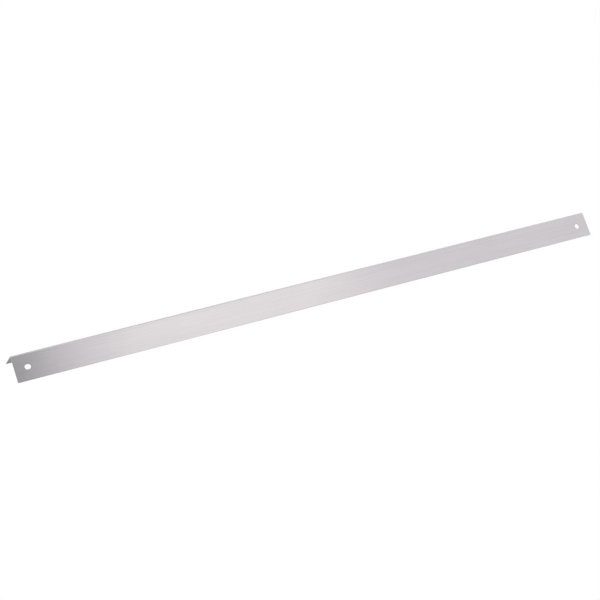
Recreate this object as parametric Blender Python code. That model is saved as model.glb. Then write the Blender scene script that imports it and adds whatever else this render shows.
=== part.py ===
"""Magnetic knife rack: a folded stainless angle with a bar of ferrite magnets bonded behind its face.

Frame, in metres: +X to the right of someone facing the rack, +Y into the wall, +Z up.
The wall plane is y = 0. The origin is the middle of the flange's rear edge, which meets the wall.
"""

import math

import bmesh
import bpy
from mathutils import Matrix, Vector

# Stainless angle with equal legs
LENGTH = 0.610
FACE_HEIGHT = 0.0247
FLANGE_DEPTH = FACE_HEIGHT
SHEET = 0.0008
BEND_INSIDE_RADIUS = 0.0008
BEND_SEGMENTS = 10

# Screw holes: a round one at the right, a short horizontal slot at the left
HOLE_DIAMETER = 0.005
SLOT_WIDTH = 0.0046
SLOT_LENGTH = 0.0056
HOLE_INSET = 0.0121
HOLE_HEIGHT = 0.0119
HOLE_SEGMENTS = 48

# Magnets: stock ferrite blocks in one row
MAGNET_LENGTH = 0.040
MAGNET_HEIGHT = 0.012
MAGNET_DEPTH = 0.008
MAGNET_COUNT = 13
MAGNET_SPACING = 0.002
MAGNET_EDGE = 0.0004

# Steel channel that holds the magnets and carries their flux round to the face
YOKE_LENGTH = 0.557
YOKE_HEIGHT = 0.018
YOKE_WALL = 0.0015
YOKE_OUTER_RADIUS = 0.002
YOKE_INNER_RADIUS = 0.0005
YOKE_LIP_RADIUS = 0.0004
YOKE_CENTRE_HEIGHT = 0.0125

# Foam tape between the channel and the face
TAPE_THICKNESS = 0.0008
TAPE_HEIGHT = 0.017

# Plastic plugs in the channel's ends
PLUG_CAP = 0.002
PLUG_SPIGOT = 0.006
PLUG_WALL = 0.0015
PLUG_EDGE = 0.0004

# Rubber pads that fill the space between the channel and the wall
PAD_LENGTH = 0.026
PAD_HEIGHT = 0.014
PAD_CORNER = 0.003
PAD_CHAMFER = 0.0008
PAD_OFFSET = 0.255

# Clearance between pieces that touch, and the width within which a point counts as lying on a plane
GAP = 0.0003
ON_PLANE = 1e-7

# Levels worked out from the sizes above
FACE_FRONT = -FLANGE_DEPTH
FACE_BACK = FACE_FRONT + SHEET
FLANGE_TOP = SHEET / 2
FACE_BOTTOM = FLANGE_TOP - FACE_HEIGHT
HOLE_Z = FACE_BOTTOM + HOLE_HEIGHT
BAR_Z = FACE_BOTTOM + YOKE_CENTRE_HEIGHT
TAPE_FRONT = FACE_BACK + GAP
MAGNET_FRONT = TAPE_FRONT + TAPE_THICKNESS + GAP
YOKE_FRONT = MAGNET_FRONT
YOKE_INSIDE = MAGNET_FRONT + MAGNET_DEPTH + GAP
YOKE_BACK = YOKE_INSIDE + YOKE_WALL
PAD_FRONT = YOKE_BACK + GAP

STAINLESS = ("stainless_steel", (0.62, 0.60, 0.61), 0.32, 1.0)
ZINC = ("zinc_plated_steel", (0.55, 0.57, 0.60), 0.38, 1.0)
FERRITE = ("ferrite", (0.035, 0.034, 0.036), 0.62, 0.0)
FOAM_TAPE = ("foam_tape", (0.36, 0.36, 0.35), 0.85, 0.0)
BLACK_PLASTIC = ("black_plastic", (0.02, 0.02, 0.021), 0.45, 0.0)
RUBBER = ("grey_rubber", (0.06, 0.06, 0.062), 0.8, 0.0)


def clear_scene():
    for obj in list(bpy.data.objects):
        bpy.data.objects.remove(obj, do_unlink=True)


def material(spec):
    name, colour, roughness, metallic = spec
    mat = bpy.data.materials.get(name)
    if mat is None:
        mat = bpy.data.materials.new(name)
        mat.use_nodes = True
        shader = mat.node_tree.nodes["Principled BSDF"]
        shader.inputs["Base Color"].default_value = (*colour, 1.0)
        shader.inputs["Roughness"].default_value = roughness
        shader.inputs["Metallic"].default_value = metallic
    return mat


def new_object(name, mesh, spec, location=(0.0, 0.0, 0.0)):
    obj = bpy.data.objects.new(name, mesh)
    bpy.context.scene.collection.objects.link(obj)
    obj.location = location
    if not mesh.materials:
        mesh.materials.append(material(spec))
    return obj


def mesh_from(bm, name, smooth=False):
    bmesh.ops.recalc_face_normals(bm, faces=bm.faces)
    mesh = bpy.data.meshes.new(name)
    bm.to_mesh(mesh)
    bm.free()
    if smooth:
        mesh.shade_smooth()
        mesh.set_sharp_from_angle(angle=math.radians(30))
    return mesh


def arc(centre, radius, start, end, segments):
    """Points on an arc, by angle in degrees, both ends included."""
    points = []
    for i in range(segments + 1):
        angle = math.radians(start + (end - start) * i / segments)
        points.append((centre[0] + radius * math.cos(angle), centre[1] + radius * math.sin(angle)))
    return points


def rounded_rectangle(width, height, radius, segments=6):
    """Outline of a rectangle about the origin, with round corners."""
    x = width / 2 - radius
    y = height / 2 - radius
    points = arc((x, y), radius, 0, 90, segments)
    points += arc((-x, y), radius, 90, 180, segments)
    points += arc((-x, -y), radius, 180, 270, segments)
    points += arc((x, -y), radius, 270, 360, segments)
    return points


def prism(outline, place, sweep):
    """Solid swept in a straight line: place turns an outline point into its 3-D start."""
    bm = bmesh.new()
    face = bm.faces.new([bm.verts.new(place(p)) for p in outline])
    swept = bmesh.ops.extrude_face_region(bm, geom=[face])
    moved = [v for v in swept["geom"] if isinstance(v, bmesh.types.BMVert)]
    bmesh.ops.translate(bm, verts=moved, vec=Vector(sweep))
    return bm


def bar_along_x(outline, length):
    """Solid with a (y, z) section, centred on x = 0."""
    return prism(outline, lambda p: (-length / 2, p[0], p[1]), (length, 0, 0))


def block(size):
    bm = bmesh.new()
    bmesh.ops.create_cube(bm, size=1.0, matrix=Matrix.Diagonal((*size, 1.0)))
    return bm


def bevel_edges(bm, edges, offset, segments=1):
    bmesh.ops.bevel(bm, geom=edges, offset=offset, segments=segments, profile=0.5, affect="EDGES")


def cut(obj, cutter):
    cutter.hide_render = True
    cutter.display_type = "WIRE"
    boolean = obj.modifiers.new(cutter.name, "BOOLEAN")
    boolean.operation = "DIFFERENCE"
    boolean.solver = "EXACT"
    boolean.object = cutter


def angle_section():
    """L section of the folded sheet: down the face, round the bend, back along the flange."""
    outer = BEND_INSIDE_RADIUS + SHEET
    centre = (FACE_FRONT + outer, FLANGE_TOP - outer)
    section = [(FACE_BACK, FACE_BOTTOM), (FACE_FRONT, FACE_BOTTOM)]
    section += arc(centre, outer, 180, 90, BEND_SEGMENTS)
    section += [(0.0, FLANGE_TOP), (0.0, FLANGE_TOP - SHEET)]
    section += arc(centre, BEND_INSIDE_RADIUS, 90, 180, BEND_SEGMENTS)
    return section


def slot_outline(length, width):
    """Round-ended slot, or a circle where length equals width."""
    half_run = (length - width) / 2
    half_turn = HOLE_SEGMENTS // 2
    points = arc((half_run, 0), width / 2, -90, 90, half_turn)
    points += arc((-half_run, 0), width / 2, 90, 270, half_turn)
    return points if half_run > 0 else points[:half_turn] + points[half_turn + 1 : -1]


def hole_cutter(name, x, length, width):
    outline = slot_outline(length, width)
    depth = 3 * SHEET
    bm = prism(outline, lambda p: (p[0], -depth / 2, p[1]), (0, depth, 0))
    return new_object(name, mesh_from(bm, name), STAINLESS, (x, (FACE_FRONT + FACE_BACK) / 2, HOLE_Z))


def face_angle():
    mesh = mesh_from(bar_along_x(angle_section(), LENGTH), "face_angle", smooth=True)
    obj = new_object("face_angle", mesh, STAINLESS)
    hole_x = LENGTH / 2 - HOLE_INSET
    cut(obj, hole_cutter("cut_slot_left", -hole_x, SLOT_LENGTH, SLOT_WIDTH))
    cut(obj, hole_cutter("cut_hole_right", hole_x, HOLE_DIAMETER, HOLE_DIAMETER))


def yoke_section():
    """U section of the channel, open towards the face."""
    top = YOKE_HEIGHT / 2
    inside = top - YOKE_WALL
    rear = YOKE_BACK - YOKE_FRONT
    floor = YOKE_INSIDE - YOKE_FRONT
    lip = YOKE_LIP_RADIUS
    upper = arc((lip, top - lip), lip, 180, 90, 3)
    upper += arc((rear - YOKE_OUTER_RADIUS, top - YOKE_OUTER_RADIUS), YOKE_OUTER_RADIUS, 90, 0, 6)
    lower = [(y, -z) for y, z in reversed(upper)]
    inner_corner = (floor - YOKE_INNER_RADIUS, YOKE_INNER_RADIUS - inside)
    inner_lower = [(0.0, -inside)] + arc(inner_corner, YOKE_INNER_RADIUS, 270, 360, 3)
    inner_upper = [(y, -z) for y, z in reversed(inner_lower)]
    return upper + lower + inner_lower + inner_upper


def yoke_channel():
    mesh = mesh_from(bar_along_x(yoke_section(), YOKE_LENGTH), "yoke_channel", smooth=True)
    new_object("yoke_channel", mesh, ZINC, (0, YOKE_FRONT, BAR_Z))


def bond_tape():
    mesh = mesh_from(block((YOKE_LENGTH, TAPE_THICKNESS, TAPE_HEIGHT)), "bond_tape")
    new_object("bond_tape", mesh, FOAM_TAPE, (0, TAPE_FRONT + TAPE_THICKNESS / 2, BAR_Z))


def magnets():
    bm = block((MAGNET_LENGTH, MAGNET_DEPTH, MAGNET_HEIGHT))
    bevel_edges(bm, list(bm.edges), MAGNET_EDGE)
    mesh = mesh_from(bm, "ferrite_block")
    pitch = MAGNET_LENGTH + MAGNET_SPACING
    for i in range(MAGNET_COUNT):
        x = (i - (MAGNET_COUNT - 1) / 2) * pitch
        new_object(f"magnet_{i + 1:02d}", mesh, FERRITE, (x, MAGNET_FRONT + MAGNET_DEPTH / 2, BAR_Z))


def end_plug(name, side):
    """Cap over the channel's end at the side +1 or -1, with a hollow spigot that fits inside the channel."""
    cap_depth = YOKE_BACK - YOKE_FRONT
    spigot_depth = YOKE_INSIDE - YOKE_FRONT - 2 * GAP
    spigot_height = YOKE_HEIGHT - 2 * YOKE_WALL - 2 * GAP
    yoke_end = YOKE_LENGTH / 2 + GAP
    cap = rounded_rectangle(cap_depth, YOKE_HEIGHT, YOKE_OUTER_RADIUS)
    bm = prism(cap, lambda p: (PLUG_CAP, p[0] + cap_depth / 2, p[1]), (-PLUG_CAP, 0, 0))
    rim = [e for e in bm.edges if all(abs(v.co.x - PLUG_CAP) < ON_PLANE for v in e.verts)]
    bevel_edges(bm, rim, PLUG_EDGE, 2)
    body = new_object(name, mesh_from(bm, name), BLACK_PLASTIC)

    spigot = block((PLUG_SPIGOT + PLUG_WALL, spigot_depth, spigot_height))
    tool = new_object("add_spigot_" + name, mesh_from(spigot, name + "_spigot"), BLACK_PLASTIC)
    tool.location = ((PLUG_WALL - PLUG_SPIGOT) / 2, GAP + spigot_depth / 2, 0)
    pocket = block((PLUG_SPIGOT, spigot_depth - 2 * PLUG_WALL, spigot_height - 2 * PLUG_WALL))
    hollow = new_object("cut_pocket_" + name, mesh_from(pocket, name + "_pocket"), BLACK_PLASTIC)
    hollow.location = (-PLUG_SPIGOT / 2 - PLUG_WALL, GAP + spigot_depth / 2, 0)

    cut(body, tool)
    body.modifiers[-1].operation = "UNION"
    cut(body, hollow)
    pivot = bpy.data.objects.new(name + "_place", None)
    bpy.context.scene.collection.objects.link(pivot)
    for obj in (body, tool, hollow):
        obj.parent = pivot
    pivot.location = (side * yoke_end, YOKE_FRONT, BAR_Z)
    if side < 0:
        pivot.rotation_euler = (math.pi, 0, math.pi)
    return pivot


def wall_pads():
    outline = rounded_rectangle(PAD_LENGTH, PAD_HEIGHT, PAD_CORNER)
    bm = prism(outline, lambda p: (p[0], PAD_FRONT, p[1]), (0, -PAD_FRONT, 0))
    rear = [e for e in bm.edges if all(abs(v.co.y) < ON_PLANE for v in e.verts)]
    bevel_edges(bm, rear, PAD_CHAMFER)
    mesh = mesh_from(bm, "wall_pad", smooth=True)
    for name, x in (("left", -PAD_OFFSET), ("middle", 0.0), ("right", PAD_OFFSET)):
        new_object("wall_pad_" + name, mesh, RUBBER, (x, 0, BAR_Z))


def main():
    clear_scene()
    face_angle()
    bond_tape()
    yoke_channel()
    magnets()
    end_plug("end_plug_left", -1)
    end_plug("end_plug_right", 1)
    wall_pads()


main()
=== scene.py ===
"""Looks of the magnetic knife rack: finished meshes, materials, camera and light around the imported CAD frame.

Metres, in the CAD's own frame: +X to the right of someone facing the rack, +Y into the wall, +Z up.
"""

import math

import bmesh
import bpy
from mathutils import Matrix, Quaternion, Vector, noise


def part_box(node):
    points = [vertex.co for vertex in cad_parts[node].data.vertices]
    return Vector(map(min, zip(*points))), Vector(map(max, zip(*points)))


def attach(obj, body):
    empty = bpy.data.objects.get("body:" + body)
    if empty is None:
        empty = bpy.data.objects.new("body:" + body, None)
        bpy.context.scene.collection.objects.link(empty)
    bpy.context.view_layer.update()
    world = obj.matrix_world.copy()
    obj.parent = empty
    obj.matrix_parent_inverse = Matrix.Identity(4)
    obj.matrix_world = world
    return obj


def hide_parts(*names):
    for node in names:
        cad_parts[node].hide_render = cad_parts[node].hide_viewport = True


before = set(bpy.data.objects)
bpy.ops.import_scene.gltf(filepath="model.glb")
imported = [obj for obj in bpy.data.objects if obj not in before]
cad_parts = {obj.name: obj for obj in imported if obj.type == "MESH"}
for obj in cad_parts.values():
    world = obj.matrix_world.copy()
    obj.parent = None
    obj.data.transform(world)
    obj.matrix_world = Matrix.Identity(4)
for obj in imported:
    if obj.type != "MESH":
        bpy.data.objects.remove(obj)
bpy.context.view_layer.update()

# Places, read from the frame. The origin is at half the flange's thickness.
angle_low, angle_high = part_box("face_angle")
yoke_low, yoke_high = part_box("yoke_channel")
tape_low, tape_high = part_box("bond_tape")
HALF_LENGTH = angle_high.x
FACE_FRONT = angle_low.y
WALL = angle_high.y
FACE_BOTTOM = angle_low.z
FLANGE_TOP = angle_high.z
SHEET = 2 * FLANGE_TOP
FACE_BACK = FACE_FRONT + SHEET
BAR_Z = (yoke_low.z + yoke_high.z) / 2

# Stainless angle, with a round hole at the right and a short slot at the left
BEND_INSIDE_RADIUS = 0.0008
BEND_SEGMENTS = 28
CUT_EDGE_RADIUS = 0.0001
END_EDGE_RADIUS = 0.00008
HOLE_DIAMETER = 0.005
SLOT_WIDTH = 0.0046
SLOT_LENGTH = 0.0056
HOLE_INSET = 0.0121
HOLE_HEIGHT = 0.0119
HOLE_SEGMENTS = 96
HOLE_ROLL = 0.0001
HOLE_BREAK = 0.0002

# Channel and magnets
YOKE_WALL = 0.0015
YOKE_OUTER_RADIUS = 0.002
YOKE_INNER_RADIUS = 0.0005
YOKE_LIP_RADIUS = 0.0004
YOKE_EDGE = 0.00015
MAGNET_CORNER = 0.0004
MAGNET_EDGE = 0.0003
MAGNET_STATIONS = 60
CHIP_DEPTH = 0.0006
CHIP_THRESHOLD = 0.18
CHIP_SCALE = 700
MAGNET_SEED_STEP = 7.3

# Foam tape, whose slit edges waver
TAPE_STATIONS = 180
TAPE_WAVER = 0.00012
TAPE_WAVES = 90

# End plugs
PLUG_CAP = 0.002
PLUG_WALL = 0.0015
PLUG_EDGE = 0.0005
PLUG_RIM = 0.0013
PLUG_DISH = 0.00035
SPIGOT_CORNER = 0.0006
SPIGOT_EDGE = 0.0003

# Wall pads
PAD_CORNER = 0.003
PAD_EDGE = 0.0008
PAD_FOOT = 0.0003
PAD_GROOVES = (0.0018, 0.0034)
PAD_GROOVE_WIDTH = 0.0008
PAD_GROOVE_DEPTH = 0.0005

# Clearance between pieces that touch, and the angle in degrees above which an edge is shaded sharp
GAP = 0.0003
SHARP_ANGLE = 38

# Camera: where it looks, and how it is turned
VIEW_TARGET = Vector((-0.0291, FACE_FRONT, -0.0151))
VIEW_YAW = math.radians(24.293)
VIEW_PITCH = math.radians(10.448)
VIEW_ROLL = math.radians(-19.067)
VIEW_DISTANCE = 1.3467
VIEW_LENS = 86.36
SENSOR = 36.0

# Floor: far enough below to be out of the way of a camera that looks up
FLOOR_Z = -1.7
FLOOR_RADIUS = 6.0
FLOOR_OPACITY = 0.6

# Light: what the camera sees behind the object, what the room gives, and the softboxes as
# (name, location, point they face, size, radiance)
BACKDROP = (1.0, 1.0, 1.0)
ROOM = (0.42, 0.42, 0.42)
SOFTBOXES = (
    ("key_softbox", (1.155, -1.80, 0.40), (1.155, 0.0, 0.40), (1.96, 2.4), (0.600, 0.566, 0.583)),
    ("key_hot_centre", (0.615, -1.79, 0.40), (0.615, 0.0, 0.40), (0.61, 1.6), (0.245, 0.235, 0.200)),
    ("key_soft_edge", (0.155, -1.79, 0.40), (0.155, 0.0, 0.40), (0.08, 1.6), (0.11, 0.105, 0.108)),
    ("top_softbox", (1.3, -0.50, 1.5), (1.3, -0.5, 0.0), (2.6, 2.0), (0.67, 0.65, 0.66)),
    ("left_softbox", (-1.7, -0.35, 0.1), (0.0, 0.0, 0.0), (1.0, 1.4), (0.9, 0.9, 0.9)),
    ("rear_softbox", (-0.6, 2.2, 1.35), (-0.6, 0.0, 1.35), (5.5, 2.3), (0.6, 0.6, 0.6)),
)


# ---------------------------------------------------------------- outlines and sweeps


def arc(centre, radius, start, end, segments):
    """Points on an arc, by angle in degrees, both ends included."""
    points = []
    for i in range(segments + 1):
        angle = math.radians(start + (end - start) * i / segments)
        points.append((centre[0] + radius * math.cos(angle), centre[1] + radius * math.sin(angle)))
    return points


def inset(outline, distance):
    """An anticlockwise outline moved inwards, corner by corner, or outwards for a negative distance."""
    moved = []
    count = len(outline)
    for i in range(count):
        here = Vector(outline[i])
        before = (here - Vector(outline[i - 1])).normalized()
        after = (Vector(outline[(i + 1) % count]) - here).normalized()
        inward = Vector((-before.y - after.y, before.x + after.x)).normalized()
        slant = inward.dot(Vector((-before.y, before.x)))
        moved.append(tuple(here + inward * (distance / slant)))
    return moved


def drawn(outline):
    """Ring function of a drawn outline. It may be moved in by less than its smallest corner radius."""
    return lambda amount: inset(outline, amount)


def rounded_box(width, height, radius, segments=8):
    """Ring function of a rectangle about the origin with round corners, which tighten as it is moved in."""
    smallest = radius / 5

    def ring(amount):
        corner = max(radius - amount, smallest)
        x = width / 2 - amount - corner
        y = height / 2 - amount - corner
        points = arc((x, y), corner, 0, 90, segments)
        points += arc((-x, y), corner, 90, 180, segments)
        points += arc((-x, -y), corner, 180, 270, segments)
        points += arc((x, -y), corner, 270, 360, segments)
        return points

    return ring


def rounded_end(at, radius, direction, steps=4):
    """Stations of a rounded edge that ends at a place, running outwards along direction +1 or -1."""
    stations = []
    for i in range(steps + 1):
        angle = math.pi / 2 * i / steps
        stations.append((at - direction * radius * (1 - math.sin(angle)), radius * (1 - math.cos(angle))))
    return stations


def along_x(centre_y=0.0, centre_z=0.0):
    """Placing function of a sweep along X."""
    return lambda x, u, v: Vector((x, centre_y + u, centre_z + v))


def along_y(centre_x, centre_z):
    """Placing function of a sweep along Y."""
    return lambda y, u, v: Vector((centre_x + u, y, centre_z + v))


def sweep(ring, stations, place):
    """Closed solid through the ring at each (position, inset)."""
    bm = bmesh.new()
    loops = [[bm.verts.new(place(position, u, v)) for u, v in ring(amount)] for position, amount in stations]
    count = len(loops[0])
    for near, far in zip(loops, loops[1:]):
        for i in range(count):
            j = (i + 1) % count
            bm.faces.new((near[i], near[j], far[j], far[i]))
    bm.faces.new(loops[0])
    bm.faces.new(loops[-1])
    bmesh.ops.recalc_face_normals(bm, faces=bm.faces)
    return bm


def bar(ring, low, high, radius, place, between=()):
    """A sweep from low to high with both end edges rounded."""
    stations = list(reversed(rounded_end(low, radius, -1)))
    stations += [(position, 0.0) for position in between]
    stations += rounded_end(high, radius, 1)
    return sweep(ring, stations, place)


def steps_between(low, high, count):
    return [low + (high - low) * i / count for i in range(1, count)]


def add_object(name, bm):
    mesh = bpy.data.meshes.new(name)
    bm.to_mesh(mesh)
    bm.free()
    obj = bpy.data.objects.new(name, mesh)
    bpy.context.scene.collection.objects.link(obj)
    return obj


def boolean(obj, tool, operation):
    """Applies one exact boolean to obj and removes the tool."""
    modifier = obj.modifiers.new("boolean", "BOOLEAN")
    modifier.operation = operation
    modifier.solver = "EXACT"
    modifier.object = tool
    bpy.context.view_layer.update()
    evaluated = obj.evaluated_get(bpy.context.evaluated_depsgraph_get())
    mesh = bpy.data.meshes.new_from_object(evaluated)
    obj.modifiers.clear()
    obj.data = mesh
    bpy.data.objects.remove(tool, do_unlink=True)


def finish_piece(obj, node, materials):
    """Shades a piece, gives it its materials, and puts it in place of its CAD node."""
    obj.data.shade_smooth()
    obj.data.set_sharp_from_angle(angle=math.radians(SHARP_ANGLE))
    weighted = obj.modifiers.new("weighted_normals", "WEIGHTED_NORMAL")
    weighted.keep_sharp = True
    weighted.weight = 100
    obj.data.materials.clear()
    for mat in materials:
        obj.data.materials.append(mat)
    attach(obj, "root")
    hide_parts(node)
    return obj


# ---------------------------------------------------------------- material nodes


class Nodes:
    """Short names for building a node tree."""

    def __init__(self, name):
        self.material = bpy.data.materials.new(name)
        self.material.use_nodes = True
        self.tree = self.material.node_tree
        self.shader = self.tree.nodes["Principled BSDF"]

    def add(self, kind, **settings):
        node = self.tree.nodes.new(kind)
        for key, value in settings.items():
            setattr(node, key, value)
        return node

    def link(self, output, target):
        self.tree.links.new(output, target)

    def constant(self, **values):
        """Sets the shader's own sockets, by name with _ for a space."""
        for key, value in values.items():
            self.shader.inputs[key.replace("_", " ")].default_value = value

    def position(self, scale):
        """Object coordinates times a scale for each axis, in periods a metre."""
        coordinates = self.add("ShaderNodeTexCoord")
        mapping = self.add("ShaderNodeMapping")
        mapping.inputs["Scale"].default_value = scale
        self.link(coordinates.outputs["Object"], mapping.inputs["Vector"])
        return mapping.outputs["Vector"]

    def noise(self, scale, detail=3.0, roughness=0.55):
        texture = self.add("ShaderNodeTexNoise")
        texture.inputs["Scale"].default_value = 1.0
        texture.inputs["Detail"].default_value = detail
        texture.inputs["Roughness"].default_value = roughness
        self.link(self.position(scale), texture.inputs["Vector"])
        return texture.outputs["Fac"]

    def cells(self, scale):
        """Distance to the nearest of a scatter of points."""
        texture = self.add("ShaderNodeTexVoronoi", feature="F1")
        texture.inputs["Scale"].default_value = 1.0
        self.link(self.position(scale), texture.inputs["Vector"])
        return texture.outputs["Distance"]

    def ramp(self, value, low, high, to_low, to_high):
        """The value's range low..high stretched to to_low..to_high."""
        node = self.add("ShaderNodeMapRange")
        node.inputs["From Min"].default_value = low
        node.inputs["From Max"].default_value = high
        node.inputs["To Min"].default_value = to_low
        node.inputs["To Max"].default_value = to_high
        self.link(value, node.inputs["Value"])
        return node.outputs["Result"]

    def total(self, first, second):
        node = self.add("ShaderNodeMath", operation="ADD")
        self.link(first, node.inputs[0])
        self.link(second, node.inputs[1])
        return node.outputs["Value"]

    def blend(self, factor, first, second):
        """Colour between two, each given as a colour or an output."""
        node = self.add("ShaderNodeMix", data_type="RGBA")
        colours = [socket for socket in node.inputs if socket.type == "RGBA"]
        self.link(factor, node.inputs["Factor"])
        for socket, value in zip(colours, (first, second)):
            if isinstance(value, tuple):
                socket.default_value = (*value, 1.0)
            else:
                self.link(value, socket)
        return next(socket for socket in node.outputs if socket.type == "RGBA")

    def finish(self, colour, roughness, height, depth):
        """Wires colour, roughness and a bump of the given depth in metres into the shader."""
        self.link(colour, self.shader.inputs["Base Color"])
        self.link(roughness, self.shader.inputs["Roughness"])
        bump = self.add("ShaderNodeBump")
        bump.inputs["Distance"].default_value = depth
        self.link(height, bump.inputs["Height"])
        self.link(bump.outputs["Normal"], self.shader.inputs["Normal"])
        return self.material


def satin_stainless():
    """Brushed 304: fine grain along X, a few longer streaks and deeper scratches, soft clouds of handling."""
    n = Nodes("satin_stainless")
    n.constant(Metallic=1.0, Anisotropic=0.92, IOR=2.5)
    tangent = n.add("ShaderNodeTangent", direction_type="RADIAL", axis="X")
    n.link(tangent.outputs["Tangent"], n.shader.inputs["Tangent"])
    grain = n.noise((35, 5200, 5200), detail=4, roughness=0.6)
    streaks = n.noise((5, 620, 620), detail=3)
    scratches = n.noise((9, 2600, 2600), detail=2)
    clouds = n.noise((14, 45, 45), detail=2)
    tone = n.blend(n.ramp(grain, 0.3, 0.7, 0, 1), (0.568, 0.556, 0.572), (0.647, 0.635, 0.651))
    tone = n.blend(n.ramp(streaks, 0.35, 0.65, 0.0, 0.45), tone, (0.655, 0.643, 0.659))
    tone = n.blend(n.ramp(scratches, 0.67, 0.75, 0.0, 0.3), tone, (0.46, 0.45, 0.46))
    tone = n.blend(n.ramp(clouds, 0.3, 0.7, 0.0, 0.12), tone, (0.54, 0.53, 0.545))
    rough = n.total(n.ramp(grain, 0.25, 0.75, 0.195, 0.245), n.ramp(clouds, 0.3, 0.7, -0.012, 0.018))
    return n.finish(tone, rough, grain, 0.000005)


def mill_stainless():
    """Inner side of the sheet, as it left the mill: even and pearly, with fine frost and faint roll lines."""
    n = Nodes("mill_stainless")
    n.constant(Metallic=1.0, IOR=2.5)
    frost = n.noise((2400, 2400, 2400), detail=3)
    rolling = n.noise((3, 380, 380), detail=3)
    tone = n.blend(n.ramp(frost, 0.3, 0.7, 0, 1), (0.545, 0.535, 0.548), (0.600, 0.590, 0.603))
    tone = n.blend(n.ramp(rolling, 0.4, 0.65, 0.0, 0.4), tone, (0.640, 0.630, 0.642))
    rough = n.total(n.ramp(frost, 0.3, 0.7, 0.26, 0.32), n.ramp(rolling, 0.3, 0.7, -0.02, 0.03))
    return n.finish(tone, rough, frost, 0.000003)


def sheared_stainless():
    """Cut edges of the sheet: shear and punch lines across the thickness, a little rougher than the face."""
    n = Nodes("sheared_stainless")
    n.constant(Metallic=1.0, IOR=2.5)
    lines = n.noise((2600, 900, 2600), detail=4, roughness=0.65)
    tone = n.blend(n.ramp(lines, 0.3, 0.7, 0, 1), (0.52, 0.505, 0.51), (0.70, 0.68, 0.685))
    return n.finish(tone, n.ramp(lines, 0.3, 0.7, 0.28, 0.42), lines, 0.00002)


def zinc_plate():
    """Bright zinc on cold-rolled steel: rolling streaks, a cool clouded passivation, small dull grains."""
    n = Nodes("zinc_plate")
    n.constant(Metallic=1.0, IOR=2.0)
    streaks = n.noise((12, 800, 800), detail=3)
    clouds = n.noise((55, 160, 160), detail=4, roughness=0.6)
    grains = n.cells((900, 1400, 1400))
    tone = n.blend(n.ramp(clouds, 0.35, 0.65, 0, 1), (0.52, 0.55, 0.60), (0.62, 0.62, 0.60))
    tone = n.blend(n.ramp(streaks, 0.35, 0.7, 0, 0.35), tone, (0.72, 0.73, 0.75))
    tone = n.blend(n.ramp(grains, 0.1, 0.6, 0.18, 0.0), tone, (0.42, 0.44, 0.47))
    return n.finish(tone, n.ramp(clouds, 0.3, 0.7, 0.30, 0.46), n.total(streaks, grains), 0.000008)


def sintered_ferrite():
    """Ground ferrite: near-black ceramic with a fine grain, grinding lines and paler dust."""
    n = Nodes("sintered_ferrite")
    n.constant(Metallic=0.0, IOR=2.2)
    grain = n.noise((3500, 3500, 3500), detail=4)
    grinding = n.noise((90, 2600, 2600), detail=2)
    dust = n.noise((160, 160, 160), detail=3)
    tone = n.blend(n.ramp(grain, 0.3, 0.7, 0, 1), (0.022, 0.021, 0.023), (0.060, 0.058, 0.060))
    tone = n.blend(n.ramp(dust, 0.5, 0.8, 0, 0.5), tone, (0.12, 0.115, 0.11))
    return n.finish(tone, n.ramp(grinding, 0.3, 0.7, 0.42, 0.68), n.total(grain, grinding), 0.00002)


def acrylic_foam():
    """Grey closed-cell tape: fine pores and a faint mottling."""
    n = Nodes("acrylic_foam")
    n.constant(Metallic=0.0, IOR=1.45)
    pores = n.cells((4200, 4200, 4200))
    mottle = n.noise((220, 900, 900), detail=3)
    tone = n.blend(n.ramp(mottle, 0.3, 0.7, 0, 1), (0.30, 0.30, 0.295), (0.42, 0.42, 0.41))
    tone = n.blend(n.ramp(pores, 0.0, 0.35, 0.45, 0.0), tone, (0.16, 0.16, 0.16))
    return n.finish(tone, n.ramp(mottle, 0.3, 0.7, 0.78, 0.95), pores, 0.00006)


def moulded_plastic():
    """Black polyethylene with a fine spark-eroded texture and faint flow marks."""
    n = Nodes("moulded_plastic")
    n.constant(Metallic=0.0, IOR=1.5)
    texture = n.noise((3000, 3000, 3000), detail=3)
    flow = n.noise((120, 260, 260), detail=2)
    tone = n.blend(n.ramp(flow, 0.3, 0.7, 0, 1), (0.014, 0.014, 0.015), (0.028, 0.028, 0.030))
    return n.finish(tone, n.ramp(texture, 0.3, 0.7, 0.36, 0.52), texture, 0.00003)


def pad_rubber():
    """Dark grey moulded rubber with a dull bloom and fine specks."""
    n = Nodes("pad_rubber")
    n.constant(Metallic=0.0, IOR=1.5)
    specks = n.noise((2400, 2400, 2400), detail=4)
    bloom = n.noise((140, 140, 140), detail=3)
    tone = n.blend(n.ramp(bloom, 0.35, 0.7, 0, 1), (0.040, 0.040, 0.042), (0.095, 0.095, 0.096))
    tone = n.blend(n.ramp(specks, 0.52, 0.75, 0, 0.6), tone, (0.16, 0.16, 0.155))
    return n.finish(tone, n.ramp(bloom, 0.3, 0.7, 0.58, 0.85), specks, 0.00007)


# ---------------------------------------------------------------- pieces


def angle_section():
    """L section of the folded sheet as (y, z), anticlockwise seen from +X, with its cut edges rounded."""
    outer = BEND_INSIDE_RADIUS + SHEET
    bend = (FACE_FRONT + outer, FLANGE_TOP - outer)
    edge = CUT_EDGE_RADIUS
    under = FLANGE_TOP - SHEET
    section = arc((FACE_FRONT + edge, FACE_BOTTOM + edge), edge, 180, 270, 4)
    section += arc((FACE_BACK - edge, FACE_BOTTOM + edge), edge, 270, 360, 4)
    section += arc(bend, BEND_INSIDE_RADIUS, 180, 90, BEND_SEGMENTS)
    section += arc((WALL - edge, under + edge), edge, 270, 360, 4)
    section += arc((WALL - edge, FLANGE_TOP - edge), edge, 0, 90, 4)
    section += arc(bend, outer, 90, 180, BEND_SEGMENTS)
    return section


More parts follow.
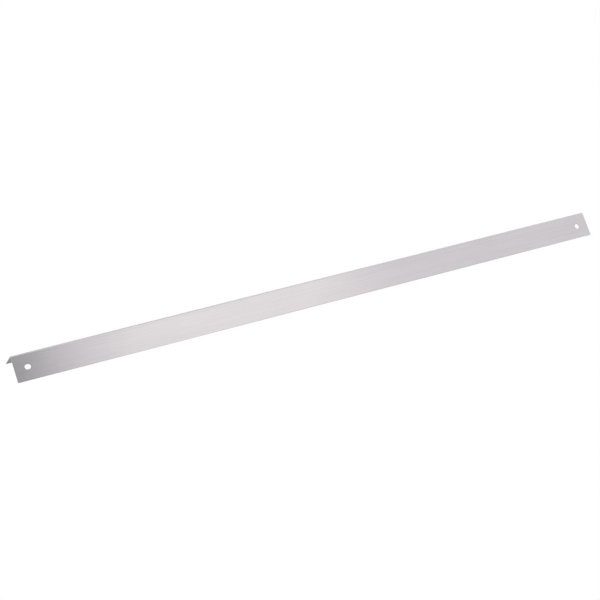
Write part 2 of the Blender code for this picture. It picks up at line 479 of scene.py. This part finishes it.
def slot_outline(length, width):
    """Round-ended slot, anticlockwise, or a circle where length equals width."""
    half_run = (length - width) / 2
    half_turn = HOLE_SEGMENTS // 2
    points = arc((half_run, 0), width / 2, -90, 90, half_turn)
    points += arc((-half_run, 0), width / 2, 90, 270, half_turn)
    return points if half_run > 0 else points[:half_turn] + points[half_turn + 1 : -1]


def hole_tool(x, length, width):
    """Tool that leaves a hole with its front edge rolled in by the punch and its rear edge deburred."""
    stations = [(FACE_FRONT - SHEET, -HOLE_ROLL)]
    roll = rounded_end(FACE_FRONT, HOLE_ROLL, -1, 5)
    stations += [(position, -amount) for position, amount in reversed(roll)]
    stations += [(FACE_BACK - HOLE_BREAK, 0.0), (FACE_BACK, -HOLE_BREAK), (FACE_BACK + SHEET, -HOLE_BREAK)]
    ring = drawn(slot_outline(length, width))
    return add_object("hole_tool", sweep(ring, stations, along_y(x, FACE_BOTTOM + HOLE_HEIGHT)))


def stainless_angle(satin, mill, sheared):
    bm = bar(drawn(angle_section()), -HALF_LENGTH, HALF_LENGTH, END_EDGE_RADIUS, along_x())
    obj = add_object("stainless_angle", bm)
    hole_x = HALF_LENGTH - HOLE_INSET
    boolean(obj, hole_tool(-hole_x, SLOT_LENGTH, SLOT_WIDTH), "DIFFERENCE")
    boolean(obj, hole_tool(hole_x, HOLE_DIAMETER, HOLE_DIAMETER), "DIFFERENCE")
    finish_piece(obj, "face_angle", (satin, mill, sheared))
    for polygon in obj.data.polygons:
        polygon.material_index = angle_material(polygon.center, polygon.normal)
    return obj


def angle_material(centre, normal):
    """0 for the satin outside, 1 for the mill-finished inside, 2 for sheared ends, edges and holes."""
    edge = CUT_EDGE_RADIUS * 0.9
    at_end = abs(centre.x) > HALF_LENGTH - edge
    at_long_edge = centre.z < FACE_BOTTOM + edge or centre.y > WALL - edge
    across = abs(centre.x) - (HALF_LENGTH - HOLE_INSET)
    up = centre.z - (FACE_BOTTOM + HOLE_HEIGHT)
    by_hole = math.hypot(across, up) < SLOT_LENGTH / 2 + 2 * HOLE_ROLL
    in_hole = by_hole and abs(normal.y) < 0.9 and centre.y < FACE_BACK
    if at_end or at_long_edge or in_hole:
        return 2
    inside = centre.y > FACE_FRONT + SHEET / 2 and centre.z < FLANGE_TOP - SHEET / 2
    faces_in = normal.y > 0.02 or normal.z < -0.02
    return 1 if inside and faces_in else 0


def yoke_section():
    """U section of the channel as (y, z), open towards the face."""
    top = (yoke_high.z - yoke_low.z) / 2
    inside = top - YOKE_WALL
    front, rear = yoke_low.y, yoke_high.y
    floor = rear - YOKE_WALL
    lip = YOKE_LIP_RADIUS
    outer = YOKE_OUTER_RADIUS
    inner = YOKE_INNER_RADIUS
    lower = arc((front + lip, lip - top), lip, 180, 270, 4)
    lower += arc((rear - outer, outer - top), outer, 270, 360, 10)
    upper = [(y, -z) for y, z in reversed(lower)]
    back_in = arc((front + lip, inside + lip), lip, 180, 270, 4)
    back_in += arc((floor - inner, inside - inner), inner, 90, 0, 5)
    back_out = [(y, -z) for y, z in reversed(back_in)]
    return [(y, z + BAR_Z) for y, z in lower + upper + back_in + back_out]


def flux_channel(zinc):
    bm = bar(drawn(yoke_section()), yoke_low.x, yoke_high.x, YOKE_EDGE, along_x())
    return finish_piece(add_object("flux_channel", bm), "yoke_channel", (zinc,))


def foam_bond_tape(foam):
    """Slit foam strip whose two long edges waver a little."""
    size = tape_high - tape_low
    centre = (tape_low + tape_high) / 2
    ring = rounded_box(size.y, size.z - 2 * TAPE_WAVER, size.y / 5, 3)
    steps = steps_between(tape_low.x, tape_high.x, TAPE_STATIONS)
    bm = bar(ring, tape_low.x, tape_high.x, size.y / 8, along_x(centre.y, centre.z), steps)
    for vert in bm.verts:
        side = math.copysign(5.0, vert.co.z - centre.z)
        vert.co.z += TAPE_WAVER * noise.noise(Vector((vert.co.x * TAPE_WAVES, side, 0)))
    return finish_piece(add_object("foam_bond_tape", bm), "bond_tape", (foam,))


def ferrite_magnet(node, number, ferrite):
    """Block with small chips knocked off its long edges."""
    low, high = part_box(node)
    centre = (low + high) / 2
    size = high - low
    ring = rounded_box(size.y, size.z, MAGNET_CORNER, 5)
    steps = steps_between(low.x, high.x, MAGNET_STATIONS)
    bm = bar(ring, low.x, high.x, MAGNET_EDGE, along_x(centre.y, centre.z), steps)
    start = Vector((number * MAGNET_SEED_STEP, 0, 0))
    for vert in bm.verts:
        depth_y = size.y / 2 - abs(vert.co.y - centre.y)
        depth_z = size.z / 2 - abs(vert.co.z - centre.z)
        if max(depth_y, depth_z) < MAGNET_CORNER * 0.95:
            chip = max(noise.noise(vert.co * CHIP_SCALE + start) - CHIP_THRESHOLD, 0.0) * CHIP_DEPTH
            inwards = Vector((0, centre.y - vert.co.y, centre.z - vert.co.z))
            vert.co += inwards.normalized() * chip
    return finish_piece(add_object("ferrite_" + node, bm), node, (ferrite,))


def moulded_plug(node, side, plastic):
    """Cap with a shallow dished outer face, on a hollow spigot inside the channel."""
    low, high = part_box(node)
    end, spigot_end = (high.x, low.x) if side > 0 else (low.x, high.x)
    cap_root = end - side * PLUG_CAP
    ring = rounded_box(high.y - low.y, high.z - low.z, YOKE_OUTER_RADIUS)
    stations = [(cap_root, 0.0)] + rounded_end(end, PLUG_EDGE, side)
    stations += [(end, PLUG_RIM), (end - side * PLUG_DISH, PLUG_RIM + PLUG_DISH)]
    plug = add_object("moulded_" + node, sweep(ring, stations, along_x((low.y + high.y) / 2, BAR_Z)))

    depth = yoke_high.y - yoke_low.y - YOKE_WALL - 2 * GAP
    height = yoke_high.z - yoke_low.z - 2 * YOKE_WALL - 2 * GAP
    place = along_x(yoke_low.y + GAP + depth / 2, BAR_Z)
    stations = [(cap_root + side * PLUG_CAP / 2, 0.0)] + rounded_end(spigot_end, SPIGOT_EDGE, -side)
    spigot = sweep(rounded_box(depth, height, SPIGOT_CORNER, 5), stations, place)
    boolean(plug, add_object("spigot", spigot), "UNION")
    pocket_ring = rounded_box(depth - 2 * PLUG_WALL, height - 2 * PLUG_WALL, SPIGOT_CORNER, 5)
    stations = [(cap_root - side * PLUG_WALL, 0.0), (spigot_end - side * PLUG_WALL, 0.0)]
    boolean(plug, add_object("pocket", sweep(pocket_ring, stations, place)), "DIFFERENCE")
    return finish_piece(plug, node, (plastic,))


def rubber_pad(node, rubber):
    """Moulded pad: round wall-side edge, and two shallow grooves round a flat middle that grip the wall."""
    low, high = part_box(node)
    centre = (low + high) / 2
    ring = rounded_box(high.x - low.x, high.z - low.z, PAD_CORNER, 10)
    stations = [(low.y, PAD_FOOT), (low.y + PAD_FOOT, 0.0)] + rounded_end(high.y, PAD_EDGE, 1, 6)
    slope = PAD_GROOVE_WIDTH / 4
    for start in PAD_GROOVES:
        bottom = high.y - PAD_GROOVE_DEPTH
        stations += [(high.y, start), (bottom, start + slope)]
        stations += [(bottom, start + PAD_GROOVE_WIDTH - slope), (high.y, start + PAD_GROOVE_WIDTH)]
    bm = sweep(ring, stations, along_y(centre.x, centre.z))
    return finish_piece(add_object("rubber_" + node, bm), node, (rubber,))


# ---------------------------------------------------------------- camera, light and stage


def make_camera():
    forward = Vector((
        math.sin(VIEW_YAW) * math.cos(VIEW_PITCH),
        math.cos(VIEW_YAW) * math.cos(VIEW_PITCH),
        math.sin(VIEW_PITCH),
    ))
    data = bpy.data.cameras.new("camera")
    data.sensor_width = SENSOR
    data.lens = VIEW_LENS
    camera = bpy.data.objects.new("camera", data)
    bpy.context.scene.collection.objects.link(camera)
    camera.rotation_mode = "QUATERNION"
    camera.location = VIEW_TARGET - forward * VIEW_DISTANCE
    camera.rotation_quaternion = forward.to_track_quat("-Z", "Y") @ Quaternion((0, 0, 1), VIEW_ROLL)
    bpy.context.scene.camera = camera


def softbox(name, location, aim, size, radiance):
    """Rectangular area light that faces a point. Its radiance is a colour, added to the room's."""
    data = bpy.data.lights.new(name, "AREA")
    data.shape = "RECTANGLE"
    data.size, data.size_y = size
    brightest = max(radiance)
    data.color = [c / brightest for c in radiance]
    data.energy = brightest * math.pi * size[0] * size[1]
    light = bpy.data.objects.new(name, data)
    bpy.context.scene.collection.objects.link(light)
    light.location = location
    light.rotation_mode = "QUATERNION"
    light.rotation_quaternion = (Vector(aim) - Vector(location)).to_track_quat("-Z", "Y")
    light.visible_camera = False


def make_world(backdrop, room):
    """A white backdrop to look at, and a soft grey room to light and reflect."""
    world = bpy.data.worlds.new("studio")
    bpy.context.scene.world = world
    world.use_nodes = True
    tree = world.node_tree
    tree.nodes.clear()
    mix = tree.nodes.new("ShaderNodeMixShader")
    path = tree.nodes.new("ShaderNodeLightPath")
    tree.links.new(path.outputs["Is Camera Ray"], mix.inputs[0])
    for socket, colour in ((mix.inputs[1], room), (mix.inputs[2], backdrop)):
        background = tree.nodes.new("ShaderNodeBackground")
        background.inputs["Color"].default_value = (*colour, 1.0)
        tree.links.new(background.outputs["Background"], socket)
    out = tree.nodes.new("ShaderNodeOutputWorld")
    tree.links.new(mix.outputs["Shader"], out.inputs["Surface"])


def floor_paper():
    """Pale matt paper that fades out towards the floor's rim."""
    n = Nodes("floor_paper")
    n.constant(Metallic=0.0, Specular_IOR_Level=0.1)
    fibres = n.noise((40, 40, 40), detail=3)
    tone = n.blend(n.ramp(fibres, 0.3, 0.7, 0, 1), (0.86, 0.86, 0.86), (0.88, 0.88, 0.88))
    n.finish(tone, n.ramp(fibres, 0.3, 0.7, 0.85, 0.95), fibres, 0.0002)
    gradient = n.add("ShaderNodeTexGradient", gradient_type="SPHERICAL")
    n.link(n.position((1 / FLOOR_RADIUS,) * 3), gradient.inputs["Vector"])
    n.link(n.ramp(gradient.outputs["Fac"], 0.02, 0.75, 0.0, FLOOR_OPACITY), n.shader.inputs["Alpha"])
    return n.material


def make_floor():
    bm = bmesh.new()
    bmesh.ops.create_circle(bm, cap_ends=True, segments=96, radius=FLOOR_RADIUS)
    floor = add_object("floor", bm)
    floor.location.z = FLOOR_Z
    floor.data.materials.append(floor_paper())


# ---------------------------------------------------------------- assembly


def main():
    bpy.context.scene.view_settings.view_transform = "Standard"
    make_camera()
    make_world(BACKDROP, ROOM)
    for box in SOFTBOXES:
        softbox(*box)
    make_floor()
    stainless_angle(satin_stainless(), mill_stainless(), sheared_stainless())
    flux_channel(zinc_plate())
    foam_bond_tape(acrylic_foam())
    ferrite = sintered_ferrite()
    magnets = sorted(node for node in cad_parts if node.startswith("magnet_"))
    for number, node in enumerate(magnets):
        ferrite_magnet(node, number, ferrite)
    plastic = moulded_plastic()
    moulded_plug("end_plug_left", -1, plastic)
    moulded_plug("end_plug_right", 1, plastic)
    rubber = pad_rubber()
    for node in ("wall_pad_left", "wall_pad_middle", "wall_pad_right"):
        rubber_pad(node, rubber)


main()
